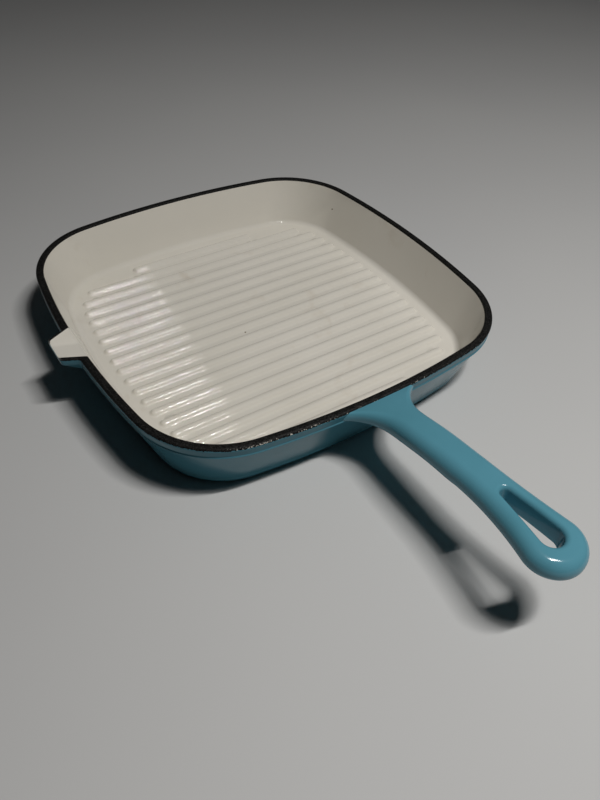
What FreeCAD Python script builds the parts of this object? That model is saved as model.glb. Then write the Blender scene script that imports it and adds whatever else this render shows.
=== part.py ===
import FreeCAD, Part

import math
import os

from Sketcher import Constraint

# Square cast iron grill pan, enamelled, with a cast handle and one pouring spout.
# Millimetres. Z is up, the table plane is Z = 0 and the origin is the centre of the base.
# The handle points along -Y and the spout along -X.

DIMENSIONS = [
    # the plan shape: a square whose sides bow outwards, with round corners
    ("coat", 0.4, "thickness of every enamel coat"),
    ("corner_centre", 66.3, "X and Y of the corner arcs' centres, the same at every level"),
    ("bow_centre", 393.2, "how far behind the middle a bowed side's arc has its centre"),
    # the wall's cross-section, measured at the middle of a side
    ("pan_height", 43.0, "rim above the table"),
    ("rim_inside", 124.8, "half width inside the rim"),
    ("inside_draft", 19.0, "slope of the inner wall from upright, degrees"),
    ("inside_edge_round", 0.9, "rounding of the rim's inner edge"),
    ("floor_height", 9.8, "floor between the ribs, above the table"),
    ("floor_round", 4.5, "fillet between floor and inner wall"),
    ("collar_foot", 128.2, "half width at the lower edge of the collar"),
    ("collar_drop", 7.8, "collar's lower edge below the rim"),
    ("collar_draft", 11.4, "slope of the collar from upright, degrees"),
    ("rim_round", 1.8, "rounding of the rim's outer edge"),
    ("ledge_width", 0.9, "step from the collar in to the wall"),
    ("wall_draft", 19.6, "slope of the outer wall from upright, degrees"),
    ("base_round", 3.0, "rounding between outer wall and base"),
    ("foot_inside", 106.0, "half width inside the foot ring"),
    ("foot_depth", 4.2, "recess of the base inside the foot ring"),
    ("web", 96.0, "half width where the wall's section ends and the floor plate begins"),
    # where the coats change colour
    ("cream_edge", 0.55, "how far the cream coat comes onto the rim"),
    ("rim_coat_drop", 1.1, "how far the rim's coat comes down the collar"),
    ("base_coat_top", 5.0, "where the base coat ends, above the base rounding"),
    # the ribs
    ("rib_count", 19, "number of ribs"),
    ("rib_pitch", 11.04, "distance from rib to rib"),
    ("rib_height", 2.4, "crest above the floor"),
    ("rib_radius", 3.4, "radius of a rib's back"),
    ("rib_field", 105.7, "half width, along X, of the bowed square that the ribs fill"),
    ("rib_field_depth", 105.3, "half its width along Y, which cuts the outermost ribs short"),
    # the spout, in the left wall
    ("spout_shift", 1.4, "spout's middle behind the middle of the wall"),
    ("beak_reach", 139.3, "tip of the spout from the middle of the pan"),
    ("beak_tip_half", 10.7, "half width of the spout's tip at the rim"),
    ("beak_root", 127.0, "where the spout's root lies in the rim"),
    ("beak_root_half", 16.5, "half width of the spout's root at the rim"),
    ("beak_mid_drop", 4.6, "depth below the rim at which the spout's sides turn under"),
    ("beak_mid_reach", 138.8, "tip of the spout at that depth"),
    ("beak_mid_tip_half", 10.4, "half width of the tip there"),
    ("beak_mid_root", 125.2, "the root there"),
    ("beak_mid_root_half", 16.6, "half width of the root there"),
    ("beak_low_drop", 20.5, "depth below the rim at which the spout runs out in the wall"),
    ("beak_low_reach", 121.0, "tip of the spout at that depth"),
    ("beak_low_tip_half", 5.5, "half width of the tip there"),
    ("beak_low_root", 119.5, "the root there"),
    ("beak_low_root_half", 7.1, "half width of the root there"),
    ("beak_tip_round", 1.8, "rounding of the tip's upright corners"),
    ("trough_start", 119.0, "inner end of the trough"),
    ("trough_end", 143.0, "outer end of the trough, past the tip"),
    ("trough_start_depth", 9.3, "trough below the rim at its inner end"),
    ("trough_end_depth", 0.3, "trough below the rim at its outer end"),
    ("trough_start_half", 17.5, "half width of the trough at its inner end, at rim level"),
    ("trough_end_half", 6.0, "half width of the trough at its outer end, at rim level"),
    ("trough_draft", 39.0, "slope of the trough's flanks from upright, degrees"),
    ("trough_round", 3.0, "rounding along the bottom of the trough"),
    # the handle; its places are distances from the middle of the pan towards -Y
    ("neck_half", 10.7, "half width of the neck"),
    ("flare_radius", 27.0, "radius of the flare from the neck to the wall"),
    ("flare_end", 152.0, "where the flare ends"),
    ("handle_thickness", 11.6, "thickness of the handle"),
    ("root_thinning", 5.6, "how much thinner the handle is at the wall"),
    ("thinning_length", 28.5, "length over which it thins"),
    ("thinning_past_flare", 6.0, "how far past the flare the thinning begins"),
    ("crest", 235.0, "highest place of the handle"),
    ("crest_height", 57.6, "top of the handle there, above the table"),
    ("crest_radius", 372.5, "radius of the handle's arched top"),
    ("top_round", 6.4, "rounding of the handle's long edges on top"),
    ("under_round", 4.4, "rounding of its long edges on the underside"),
    ("hole_top_round", 2.5, "rounding of the hole's edge on top"),
    ("hole_under_round", 1.5, "rounding of the hole's edge on the underside"),
    ("loop_centre", 250.0, "centre of the loop's round end"),
    ("loop_radius", 16.2, "radius of the loop's round end"),
    ("waist_radius", 228.0, "radius of the sides between neck and loop"),
    ("hole_wide_centre", 247.7, "centre of the hole's wide end"),
    ("hole_wide_radius", 4.9, "radius of the hole's wide end, at the level of the crest's underside"),
    ("hole_narrow_centre", 220.0, "centre of the hole's narrow end"),
    ("hole_narrow_radius", 1.5, "radius of the hole's narrow end, at the same level"),
    ("hole_draft", 8.0, "slope of the hole's wall from upright, wider towards the top, degrees"),
]

NECK_STATIONS = (180, 164)  # places of the sections along the straight neck
FLARE_STATIONS = (0, 16, 29, 42, 56, 74)  # degrees around the flare, to the wall
OVERSHOOT = 5.0  # how far a cut starts outside the body it cuts
HANDLE_REACH = 300.0  # a place past the end of the handle
HIGH = 90.0  # a level above every part of the pan
CLOSE = 0.01  # two places nearer than this are the same
AT_LEVEL = 1.0  # an edge whose middle is nearer than this to a curved level lies in it
PLATE_OVERLAP = 2.0  # how far the floor plate reaches into the wall's section
CORNER_SHARE = 0.95  # share of a corner's radius in which a rib may still end on its arc

doc = FreeCAD.newDocument("grill_pan")
sheet = doc.addObject("Spreadsheet::Sheet", "dims")


def fill_sheet():
    for row, (alias, value, meaning) in enumerate(DIMENSIONS, 1):
        sheet.set(f"A{row}", alias)
        sheet.set(f"B{row}", str(value))
        sheet.set(f"C{row}", meaning)
        sheet.setAlias(f"B{row}", alias)
    doc.recompute()


def size(expression):
    """The number that an expression of the sheet's aliases gives."""
    value = sheet.evalExpression(expression)
    return float(getattr(value, "Value", value))


# ---------------------------------------------------------------- sketches


def new_body(name):
    return doc.addObject("PartDesign::Body", name)


def new_sketch(body, name, role, offset="0"):
    sketch = body.newObject("Sketcher::SketchObject", name)
    plane = next(f for f in body.Origin.OriginFeatures if f.Role == role)
    sketch.AttachmentSupport = [(plane, "")]
    sketch.MapMode = "FlatFace"
    sketch.setExpression("AttachmentOffset.Base.z", offset)
    return sketch


def bind(sketch, constraint, expression):
    """Adds a dimension and ties it to the sheet."""
    index = sketch.addConstraint(constraint)
    name = f"size{index}"
    sketch.renameConstraint(index, name)
    sketch.setExpression(f"Constraints.{name}", expression)


def pin(sketch, geometry, point, x, y):
    """Ties a point of a sketch to a place given by two expressions."""
    bind(sketch, Constraint("DistanceX", -1, 1, geometry, point, size(x)), x)
    bind(sketch, Constraint("DistanceY", -1, 1, geometry, point, size(y)), y)


def corner_tangents(before, corner, after, radius):
    """Where an arc of this radius touches the two sides that meet at a corner, and its centre."""
    back = (before - corner).normalize()
    ahead = (after - corner).normalize()
    half_angle = back.getAngle(ahead) / 2
    reach = radius / math.tan(half_angle)
    centre = corner + (back + ahead).normalize() * (radius / math.sin(half_angle))
    return corner + back * reach, corner + ahead * reach, centre


def short_arc(first, last, centre):
    """The arc under a half turn from first to last, and whether it starts at first."""
    start = math.atan2(first.y - centre.y, first.x - centre.x)
    sweep = (math.atan2(last.y - centre.y, last.x - centre.x) - start) % (2 * math.pi)
    forward = sweep < math.pi
    if not forward:
        start, sweep = start + sweep, 2 * math.pi - sweep
    circle = Part.Circle(centre, FreeCAD.Vector(0, 0, 1), (first - centre).Length)
    return Part.ArcOfCircle(circle, start, start + sweep), forward


def rounded_polygon(sketch, corners):
    """Closed outline through corners (x, y, radius), each an expression, radius None if sharp."""
    places = [FreeCAD.Vector(size(x), size(y), 0) for x, y, _ in corners]
    count = len(corners)
    starts, ends, arcs = [], [], []
    for i, (_, _, radius) in enumerate(corners):
        if radius is None:
            starts.append(places[i])
            ends.append(places[i])
            arcs.append(None)
            continue
        after = places[(i + 1) % count]
        first, last, centre = corner_tangents(places[i - 1], places[i], after, size(radius))
        ends.append(first)
        starts.append(last)
        arcs.append((first, last, centre))
    sides = [
        sketch.addGeometry(Part.LineSegment(starts[i], ends[(i + 1) % count]), False)
        for i in range(count)
    ]
    for i, (x, y, radius) in enumerate(corners):
        side_in, side_out = sides[i - 1], sides[i]
        if arcs[i] is None:
            sketch.addConstraint(Constraint("Coincident", side_in, 2, side_out, 1))
            pin(sketch, side_out, 1, x, y)
            continue
        arc, forward = short_arc(*arcs[i])
        bend = sketch.addGeometry(arc, False)
        first, last = (1, 2) if forward else (2, 1)
        sketch.addConstraint(Constraint("Tangent", side_in, 2, bend, first))
        sketch.addConstraint(Constraint("Tangent", side_out, 1, bend, last))
        bind(sketch, Constraint("Radius", bend, size(radius)), radius)
        corner = sketch.addGeometry(Part.Point(places[i]), True)
        pin(sketch, corner, 1, x, y)
        sketch.addConstraint(Constraint("PointOnObject", corner, 1, side_in))
        sketch.addConstraint(Constraint("PointOnObject", corner, 1, side_out))


def bowed_square(sketch, half):
    """Square with bowed sides and round corners. The +X side is in two arcs that meet on the X axis."""
    half_width, centre, behind = size(half), size("dims.corner_centre"), size("dims.bow_centre")
    bow = half_width + behind
    corner = bow - math.hypot(centre + behind, centre)
    reach = math.atan2(centre, centre + behind)
    up = FreeCAD.Vector(0, 0, 1)

    def arc(quarter, x, y, radius, start, end):
        turn = quarter * math.pi / 2
        middle = FreeCAD.Rotation(up, math.degrees(turn)).multVec(FreeCAD.Vector(x, y, 0))
        shape = Part.ArcOfCircle(Part.Circle(middle, up, radius), turn + start, turn + end)
        return sketch.addGeometry(shape, False)

    chain = [arc(0, -behind, 0, bow, 0, reach)]
    sides, corners = [(0, chain[0])], []
    for quarter in range(4):
        if quarter:
            chain.append(arc(quarter, -behind, 0, bow, -reach, reach))
            sides.append((quarter, chain[-1]))
        chain.append(arc(quarter, centre, centre, corner, reach, math.pi / 2 - reach))
        corners.append((quarter, chain[-1]))
    chain.append(arc(0, -behind, 0, bow, -reach, 0))

    for before, after in zip(chain, chain[1:]):
        sketch.addConstraint(Constraint("Tangent", before, 2, after, 1))
    sketch.addConstraint(Constraint("Coincident", chain[-1], 2, chain[0], 1))
    sketch.addConstraint(Constraint("PointOnObject", chain[0], 1, -1))
    sketch.addConstraint(Constraint("Coincident", chain[-1], 3, chain[0], 3))
    for quarter, side in sides:
        kind, axis = ("DistanceX", -1) if quarter % 2 == 0 else ("DistanceY", -2)
        sign = "-" if quarter < 2 else ""
        place = f"{sign}dims.bow_centre"
        sketch.addConstraint(Constraint("PointOnObject", side, 3, axis))
        bind(sketch, Constraint(kind, -1, 1, side, 3, size(place)), place)
        bind(sketch, Constraint("Radius", side, bow), f"{half} + dims.bow_centre")
    for quarter, round_corner in corners:
        place = "dims.corner_centre" if quarter in (0, 3) else "-dims.corner_centre"
        bind(sketch, Constraint("DistanceX", -1, 1, round_corner, 3, size(place)), place)


# ---------------------------------------------------------------- features


def loft(body, kind, name, sketches, ruled):
    feature = body.newObject(f"PartDesign::{kind}Loft", name)
    feature.Profile = sketches[0]
    feature.Sections = sketches[1:]
    feature.Ruled = ruled
    doc.recompute()
    return feature


def pad(body, name, sketch, length, midplane=False):
    feature = body.newObject("PartDesign::Pad", name)
    feature.Profile = sketch
    feature.setExpression("Length", length)
    if midplane:
        feature.SideType = "Symmetric"
    doc.recompute()
    return feature


def pocket(body, name, sketch, length):
    """Cuts both ways from the sketch, and stops the build if nothing was cut."""
    before = body.Shape.Volume
    feature = body.newObject("PartDesign::Pocket", name)
    feature.Profile = sketch
    feature.SideType = "Symmetric"
    feature.setExpression("Length", length)
    doc.recompute()
    if not body.Shape.Volume < before - 1:
        raise RuntimeError(f"{name} cut nothing")
    return feature


def round_edges(body, name, radius, wanted):
    """Rounds the edges of the body's last feature that the test wanted(edge) picks."""
    base = body.Tip
    picked = [f"Edge{i}" for i, edge in enumerate(base.Shape.Edges, 1) if wanted(edge)]
    feature = body.newObject("PartDesign::Fillet", name)
    feature.Base = (base, picked)
    feature.setExpression("Radius", radius)
    doc.recompute()
    return feature


# ---------------------------------------------------------------- the bowl


def inset(gap, draft):
    """How far a sloping face's end moves when that face and the level one beside it move by a gap."""
    return f"({gap} / cos(dims.{draft} * 1 deg) - {gap} * tan(dims.{draft} * 1 deg))"


def wall_section(gap):
    """Corners of the wall's section. A gap moves every face into the metal by that much."""
    inside = f"dims.rim_inside + {inset(gap, 'inside_draft')}"
    floor = f"dims.floor_height - {gap}"
    rim = f"dims.pan_height - {gap}"
    collar_foot = f"dims.pan_height - dims.collar_drop + {gap}"
    collar_rise = f"(dims.collar_drop - 2 * {gap}) * tan(dims.collar_draft * 1 deg)"
    collar_out = f"dims.collar_foot - {inset(gap, 'collar_draft')}"
    wall_top = f"dims.collar_foot - dims.ledge_width - {inset(gap, 'wall_draft')}"
    wall_fall = f"({collar_foot} - {gap}) * tan(dims.wall_draft * 1 deg)"
    inner_fall = f"({rim} - ({floor})) * tan(dims.inside_draft * 1 deg)"
    return [
        ("dims.web", f"dims.foot_depth + {gap}", None),
        (f"dims.foot_inside - dims.foot_depth - {gap}", f"dims.foot_depth + {gap}", None),
        ("dims.foot_inside", gap, None),
        (f"{wall_top} - {wall_fall}", gap, f"dims.base_round - {gap}"),
        (wall_top, f"{collar_foot} - dims.ledge_width / 2", None),
        (collar_out, collar_foot, None),
        (f"{collar_out} + {collar_rise}", rim, f"dims.rim_round - {gap}"),
        (inside, rim, f"dims.inside_edge_round - {gap}"),
        (f"{inside} - {inner_fall}", floor, f"dims.floor_round + {gap}"),
        ("dims.web", floor, None),
    ]


def beak_plan(body, gap, name, level, part):
    """Plan of the spout at one level: a trapezium whose long side lies in the wall."""
    sketch = new_sketch(body, f"{body.Name}_{name}", "XY_Plane", level)
    middle = "dims.spout_shift"
    tip = f"-dims.{part}reach + {gap}"
    tip_half = f"(dims.{part}tip_half - {gap})"
    root = f"-dims.{part}root"
    root_half = f"(dims.{part}root_half - {gap})"
    rounding = f"dims.beak_tip_round - {gap}"
    rounded_polygon(sketch, [
        (root, f"{middle} - {root_half}", None),
        (root, f"{middle} + {root_half}", None),
        (tip, f"{middle} + {tip_half}", rounding),
        (tip, f"{middle} - {tip_half}", rounding),
    ])
    return sketch


def add_beak(body, gap):
    """The outside of the spout: nearly upright at the rim, then falling back to the wall."""
    foot = f"dims.pan_height - dims.beak_mid_drop + {gap}"
    top = beak_plan(body, gap, "beak_top", f"dims.pan_height - {gap}", "beak_")
    middle = beak_plan(body, gap, "beak_middle", foot, "beak_mid_")
    loft(body, "Additive", f"{body.Name}_beak_sides", [top, middle], True)
    middle = beak_plan(body, gap, "beak_middle_again", foot, "beak_mid_")
    low = beak_plan(body, gap, "beak_low", "dims.pan_height - dims.beak_low_drop", "beak_low_")
    loft(body, "Additive", f"{body.Name}_beak_underside", [middle, low], True)


def trough_section(sketch, gap, half, depth):
    """Section of the trough: open at the top, its bottom corners rounded."""
    middle = "dims.spout_shift"
    slope = "tan(dims.trough_draft * 1 deg)"
    side = f"{gap} / cos(dims.trough_draft * 1 deg)"
    top = f"({half}) + {side} + dims.rim_round * 2 * {slope}"
    bottom = f"({half}) + {side} - (({depth}) + {gap}) * {slope}"
    level = f"dims.pan_height - ({depth}) - {gap}"
    above = "dims.pan_height + dims.rim_round * 2"
    rounded_polygon(sketch, [
        (f"{middle} - ({top})", above, None),
        (f"{middle} - ({bottom})", level, "dims.trough_round"),
        (f"{middle} + ({bottom})", level, "dims.trough_round"),
        (f"{middle} + ({top})", above, None),
    ])


def trough_plans(body, gap):
    start = new_sketch(body, f"{body.Name}_start_section", "YZ_Plane", "-dims.trough_start")
    trough_section(start, gap, "dims.trough_start_half", "dims.trough_start_depth")
    end = new_sketch(body, f"{body.Name}_end_section", "YZ_Plane", "-dims.trough_end")
    trough_section(end, gap, "dims.trough_end_half", "dims.trough_end_depth")
    return [start, end]


def cut_trough(body, gap):
    before = body.Shape.Volume
    loft(body, "Subtractive", f"{body.Name}_trough", trough_plans(body, gap), True)
    if not body.Shape.Volume < before - 1:
        raise RuntimeError("the trough cut nothing")


def bowl_form(name, gap):
    """The bowl with its spout: the wall's section swept around the plan, and a floor plate."""
    body = new_body(name)
    path = new_sketch(body, f"{name}_path", "XY_Plane")
    bowed_square(path, "dims.rim_inside")
    section = new_sketch(body, f"{name}_section", "XZ_Plane")
    rounded_polygon(section, wall_section(gap))
    doc.recompute()
    wall = body.newObject("PartDesign::AdditivePipe", f"{name}_wall")
    wall.Profile = section
    wall.Spine = (path, [f"Edge{i}" for i in range(1, len(path.Shape.Edges) + 1)])
    doc.recompute()
    plate = new_sketch(body, f"{name}_floor_plan", "XY_Plane", f"dims.foot_depth + {gap}")
    bowed_square(plate, f"dims.web + {PLATE_OVERLAP}")
    pad(body, f"{name}_floor", plate, f"dims.floor_height - dims.foot_depth - 2 * {gap}")
    add_beak(body, gap)
    cut_trough(body, gap)
    return body


# ---------------------------------------------------------------- the ribs


def rib_reach(steps):
    """How far the rib that is this many steps from the middle one reaches along X."""
    edge = f"({steps} * dims.rib_pitch + dims.rib_radius)"
    in_corner = size(edge) > size("dims.corner_centre")
    bow = "(dims.rib_field + dims.bow_centre)"
    corner = (f"({bow} - sqrt(pow(dims.corner_centre + dims.bow_centre; 2)"
              " + pow(dims.corner_centre; 2)))")
    if in_corner and size(f"{edge} - dims.corner_centre") < size(corner) * CORNER_SHARE:
        return f"dims.corner_centre + sqrt(pow({corner}; 2) - pow({edge} - dims.corner_centre; 2))"
    if in_corner:
        return (f"sqrt(pow(dims.rib_field_depth + dims.bow_centre; 2)"
                f" - pow({edge} + dims.bow_centre; 2))")
    return f"sqrt(pow({bow}; 2) - pow({edge}; 2)) - dims.bow_centre"


def rib_forms(name, gap):
    """Every rib as a round bar with ball ends, sunk so far that its crest has the right height."""
    forms = []
    count = int(size("dims.rib_count"))
    level = "dims.floor_height + dims.rib_height - dims.rib_radius"
    radius = f"dims.rib_radius - {gap}"
    for number in range(count):
        steps = number - (count - 1) / 2
        place = f"{steps} * dims.rib_pitch"
        half = f"({rib_reach(abs(steps))} - dims.rib_radius)"
        bar = doc.addObject("Part::Cylinder", f"{name}_bar_{number + 1}")
        bar.Placement = FreeCAD.Placement(FreeCAD.Vector(), FreeCAD.Rotation(FreeCAD.Vector(0, 1, 0), 90))
        bar.setExpression("Radius", radius)
        bar.setExpression("Height", f"2 * {half}")
        bar.setExpression("Placement.Base.x", f"-{half}")
        bar.setExpression("Placement.Base.y", place)
        bar.setExpression("Placement.Base.z", level)
        balls = []
        for side, sign in (("left", "-"), ("right", "")):
            ball = doc.addObject("Part::Sphere", f"{name}_{side}_end_{number + 1}")
            ball.setExpression("Radius", radius)
            ball.setExpression("Placement.Base.x", f"{sign}{half}")
            ball.setExpression("Placement.Base.y", place)
            ball.setExpression("Placement.Base.z", level)
            balls.append(ball)
        rib = doc.addObject("Part::MultiFuse", f"{name}_{number + 1}")
        rib.Shapes = [bar, *balls]
        rib.Refine = True
        forms.append(rib)
    doc.recompute()
    return forms


# ---------------------------------------------------------------- the handle


def arc_height(place, radius):
    """Height at a place along the handle of an arc about the centre of its arched top."""
    return (f"(dims.crest_height - dims.crest_radius"
            f" + sqrt(pow({radius}; 2) - pow(dims.crest - ({place}); 2)))")


def handle_section(body, name, gap, place, half, thinning):
    """Rounded rectangle across the handle, thinner from below by the given amount."""
    sketch = new_sketch(body, name, "XZ_Plane", place)
    top = f"{arc_height(place, 'dims.crest_radius')} - {gap}"
    under = arc_height(place, "(dims.crest_radius - dims.handle_thickness)")
    bottom = f"{under} + {thinning} + {gap}"
    side = f"({half}) - {gap}"
    share = f"(1 - {thinning} / dims.handle_thickness)"
    above = f"dims.top_round * {share} - {gap}"
    below = f"dims.under_round * {share} - {gap}"
    rounded_polygon(sketch, [
        (f"-({side})", bottom, below),
        (side, bottom, below),
        (side, top, above),
        (f"-({side})", top, above),
    ])
    return sketch


def neck_end():
    """Where the widening towards the loop begins: its arcs touch the neck and the round end."""
    return ("(dims.loop_centre - sqrt(pow(dims.waist_radius + dims.loop_radius; 2)"
            " - pow(dims.neck_half + dims.waist_radius; 2)))")


def loop_outline(sketch, gap):
    """The loop seen from above, in X and Y: neck width at the start, round at the end."""
    start, start_half = f"-{neck_end()}", f"dims.neck_half - {gap}"
    waist, end = size(f"dims.waist_radius + {gap}"), size(f"dims.loop_radius - {gap}")
    centre, waist_x = size("dims.loop_centre"), size("dims.neck_half + dims.waist_radius")
    waist_y = size(start)
    lean = math.atan2(centre + waist_y, waist_x)
    up = FreeCAD.Vector(0, 0, 1)

    def arc(x, y, radius, first, last):
        circle = Part.Circle(FreeCAD.Vector(x, y, 0), up, radius)
        return sketch.addGeometry(Part.ArcOfCircle(circle, first, last), False)

    right = arc(waist_x, waist_y, waist, math.pi, math.pi + lean)
    left = arc(-waist_x, waist_y, waist, -lean, 0)
    tip = arc(0, -centre, end, -math.pi - lean, lean)
    corners = [FreeCAD.Vector(sign * size(start_half), waist_y, 0) for sign in (-1, 1)]
    edge = sketch.addGeometry(Part.LineSegment(*corners), False)
    sketch.addConstraint(Constraint("Coincident", edge, 2, right, 1))
    sketch.addConstraint(Constraint("Coincident", edge, 1, left, 2))
    sketch.addConstraint(Constraint("Tangent", right, 2, tip, 2))
    sketch.addConstraint(Constraint("Tangent", left, 1, tip, 1))
    pin(sketch, edge, 1, f"-({start_half})", start)
    pin(sketch, edge, 2, start_half, start)
    pin(sketch, tip, 3, "0", "-dims.loop_centre")
    bind(sketch, Constraint("Radius", tip, end), f"dims.loop_radius - {gap}")
    for arc in (right, left):
        bind(sketch, Constraint("Radius", arc, waist), f"dims.waist_radius + {gap}")


def hole_outline(sketch, growth):
    """The teardrop hole: two round ends joined by straight sides that touch both."""
    wide, narrow = [size(f"dims.hole_{end}_radius + {growth}") for end in ("wide", "narrow")]
    wide_y, narrow_y = -size("dims.hole_wide_centre"), -size("dims.hole_narrow_centre")
    lean = math.asin((wide - narrow) / (narrow_y - wide_y))
    up = FreeCAD.Vector(0, 0, 1)

    def touch(radius, y, sign):
        return FreeCAD.Vector(sign * radius * math.cos(lean), y + radius * math.sin(lean), 0)

    def arc(y, radius, first, last):
        circle = Part.Circle(FreeCAD.Vector(0, y, 0), up, radius)
        return sketch.addGeometry(Part.ArcOfCircle(circle, first, last), False)

    big = arc(wide_y, wide, math.pi - lean, 2 * math.pi + lean)
    small = arc(narrow_y, narrow, lean, math.pi - lean)
    right_side = Part.LineSegment(touch(wide, wide_y, 1), touch(narrow, narrow_y, 1))
    left_side = Part.LineSegment(touch(narrow, narrow_y, -1), touch(wide, wide_y, -1))
    right = sketch.addGeometry(right_side, False)
    left = sketch.addGeometry(left_side, False)
    sketch.addConstraint(Constraint("Tangent", big, 2, right, 1))
    sketch.addConstraint(Constraint("Tangent", right, 2, small, 1))
    sketch.addConstraint(Constraint("Tangent", small, 2, left, 1))
    sketch.addConstraint(Constraint("Tangent", left, 2, big, 1))
    pin(sketch, big, 3, "0", "-dims.hole_wide_centre")
    pin(sketch, small, 3, "0", "-dims.hole_narrow_centre")
    bind(sketch, Constraint("Radius", big, wide), f"dims.hole_wide_radius + {growth}")
    bind(sketch, Constraint("Radius", small, narrow), f"dims.hole_narrow_radius + {growth}")


def arch_outline(sketch, gap):
    """The loop seen from the side, in Y and Z: two arcs about one centre and two upright ends."""
    centre = FreeCAD.Vector(-size("dims.crest"), size("dims.crest_height - dims.crest_radius"), 0)
    near, far = -size(neck_end()), -size("dims.loop_centre + dims.loop_radius") - OVERSHOOT
    up = FreeCAD.Vector(0, 0, 1)
    radii = [f"dims.crest_radius - {gap}", f"dims.crest_radius - dims.handle_thickness + {gap}"]
    arcs, ends = [], []
    for radius in radii:
        length = size(radius)
        first = math.acos((near - centre.x) / length)
        last = math.acos((far - centre.x) / length)
        arch = Part.ArcOfCircle(Part.Circle(centre, up, length), first, last)
        arcs.append(sketch.addGeometry(arch, False))
        ends.append([centre + FreeCAD.Vector(math.cos(a), math.sin(a), 0) * length for a in (first, last)])
    near_end = sketch.addGeometry(Part.LineSegment(ends[0][0], ends[1][0]), False)
    far_end = sketch.addGeometry(Part.LineSegment(ends[0][1], ends[1][1]), False)
    sketch.addConstraint(Constraint("Coincident", near_end, 1, arcs[0], 1))
    sketch.addConstraint(Constraint("Coincident", near_end, 2, arcs[1], 1))
    sketch.addConstraint(Constraint("Coincident", far_end, 1, arcs[0], 2))
    sketch.addConstraint(Constraint("Coincident", far_end, 2, arcs[1], 2))
    sketch.addConstraint(Constraint("Vertical", near_end))
    sketch.addConstraint(Constraint("Vertical", far_end))
    sketch.addConstraint(Constraint("Coincident", arcs[1], 3, arcs[0], 3))
    pin(sketch, arcs[0], 3, "-dims.crest", "dims.crest_height - dims.crest_radius")
    for arc, radius in zip(arcs, radii):
        bind(sketch, Constraint("Radius", arc, size(radius)), radius)
    bind(sketch, Constraint("DistanceX", -1, 1, near_end, 1, near), f"-{neck_end()}")
    far_place = f"-dims.loop_centre - dims.loop_radius - {OVERSHOOT}"
    bind(sketch, Constraint("DistanceX", -1, 1, far_end, 1, far), far_place)


def loop_form(name, gap):
    """The loop: an arched slab, cut to its outline and pierced, with its long edges rounded."""
    body = new_body(name)
    arch = new_sketch(body, f"{name}_arch", "YZ_Plane")
    arch_outline(arch, gap)
    pad(body, f"{name}_slab", arch, "4 * dims.loop_radius", midplane=True)
    plan = new_sketch(body, f"{name}_plan", "XY_Plane")
    loop_outline(plan, gap)
    start = f"-{neck_end()}"
    far = f"-dims.loop_centre - dims.loop_radius - 2 * {OVERSHOOT}"
    side = f"2 * dims.loop_radius + {OVERSHOOT}"
    frame = [(f"-({side})", f"{start} + {OVERSHOOT}"), (side, f"{start} + {OVERSHOOT}"),
             (side, far), (f"-({side})", far)]
    rounded_polygon(plan, [(x, y, None) for x, y in frame])
    pocket(body, f"{name}_trim", plan, f"2 * {HIGH}")
    under_level = "(dims.crest_height - dims.handle_thickness)"
    holes = []
    levels = {"low": f"{under_level} - {OVERSHOOT}", "high": f"dims.crest_height + {OVERSHOOT}"}
    for part, level in levels.items():
        growth = (f"({gap} / cos(dims.hole_draft * 1 deg)"
                  f" + ({level} - {under_level}) * tan(dims.hole_draft * 1 deg))")
        holes.append(new_sketch(body, f"{name}_hole_{part}", "XY_Plane", level))
        hole_outline(holes[-1], growth)
    loft(body, "Subtractive", f"{name}_hole", holes, True)
    start_y = size(start)
    reach = size(f"dims.hole_wide_radius + {growth}")
    hole_start, hole_end = size("-dims.hole_narrow_centre"), size("-dims.hole_wide_centre")

    def long_edge(edge):
        box = edge.BoundBox
        upright = box.XLength < CLOSE and box.YLength < CLOSE
        at_start = box.YLength < CLOSE and abs(box.YMin - start_y) < CLOSE
        return not upright and not at_start

    def of_hole(edge):
        box = edge.BoundBox
        return (max(abs(box.XMin), abs(box.XMax)) < reach
                and box.YMax < hole_start + reach and box.YMin > hole_end - reach)

    def at_level(edge, radius):
        middle = edge.CenterOfMass
        return abs(middle.z - size(arc_height(str(-middle.y), radius))) < AT_LEVEL

    top = f"(dims.crest_radius - {gap})"
    underside = f"(dims.crest_radius - dims.handle_thickness + {gap})"
    for part, level, in_hole in (
            ("top", top, False), ("under", underside, False),
            ("hole_top", top, True), ("hole_under", underside, True)):
        round_edges(body, f"{name}_{part}_rounding", f"dims.{part}_round - {gap}",
                    lambda edge: long_edge(edge) and at_level(edge, level) and of_hole(edge) == in_hole)
    return body


def handle_form(name, gap):
    """The loop, and the neck drawn out of the loop's open end to the root inside the pan's wall."""
    body = loop_form(name, gap)
    loop = body.Tip
    start_y = size(f"-{neck_end()}")
    open_end = next(
        f"Face{i}" for i, face in enumerate(loop.Shape.Faces, 1)
        if face.BoundBox.YLength < CLOSE and abs(face.BoundBox.YMin - start_y) < CLOSE)
    sections = [(str(place), "dims.neck_half") for place in NECK_STATIONS]
    for angle in FLARE_STATIONS:
        place = f"dims.flare_end - dims.flare_radius * sin({angle} deg)"
        half = f"dims.neck_half + dims.flare_radius * (1 - cos({angle} deg))"
        sections.append((place, half))
    blend_end = "(dims.flare_end + dims.thinning_past_flare)"
    sketches = []
    for number, (place, half) in enumerate(sections, 1):
        thinning = "0"
        if size(place) < size(blend_end):
            run = f"({blend_end} - ({place})) / dims.thinning_length"
            thinning = f"dims.root_thinning * pow({run}; 2)"
        sketches.append(handle_section(body, f"{name}_section_{number}", gap, place, half, thinning))
    doc.recompute()
    neck = body.newObject("PartDesign::AdditiveLoft", f"{name}_neck")
    neck.Profile = (loop, [open_end])
    neck.Sections = sketches
    doc.recompute()
    return body


# ---------------------------------------------------------------- the nodes


def boolean(kind, name, base, tool):
    feature = doc.addObject(f"Part::{kind}", name)
    feature.Base = base
    feature.Tool = tool
    doc.recompute()
    return feature


def fuse(name, shapes):
    feature = doc.addObject("Part::MultiFuse", name)
    feature.Shapes = shapes
    doc.recompute()
    return feature


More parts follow.
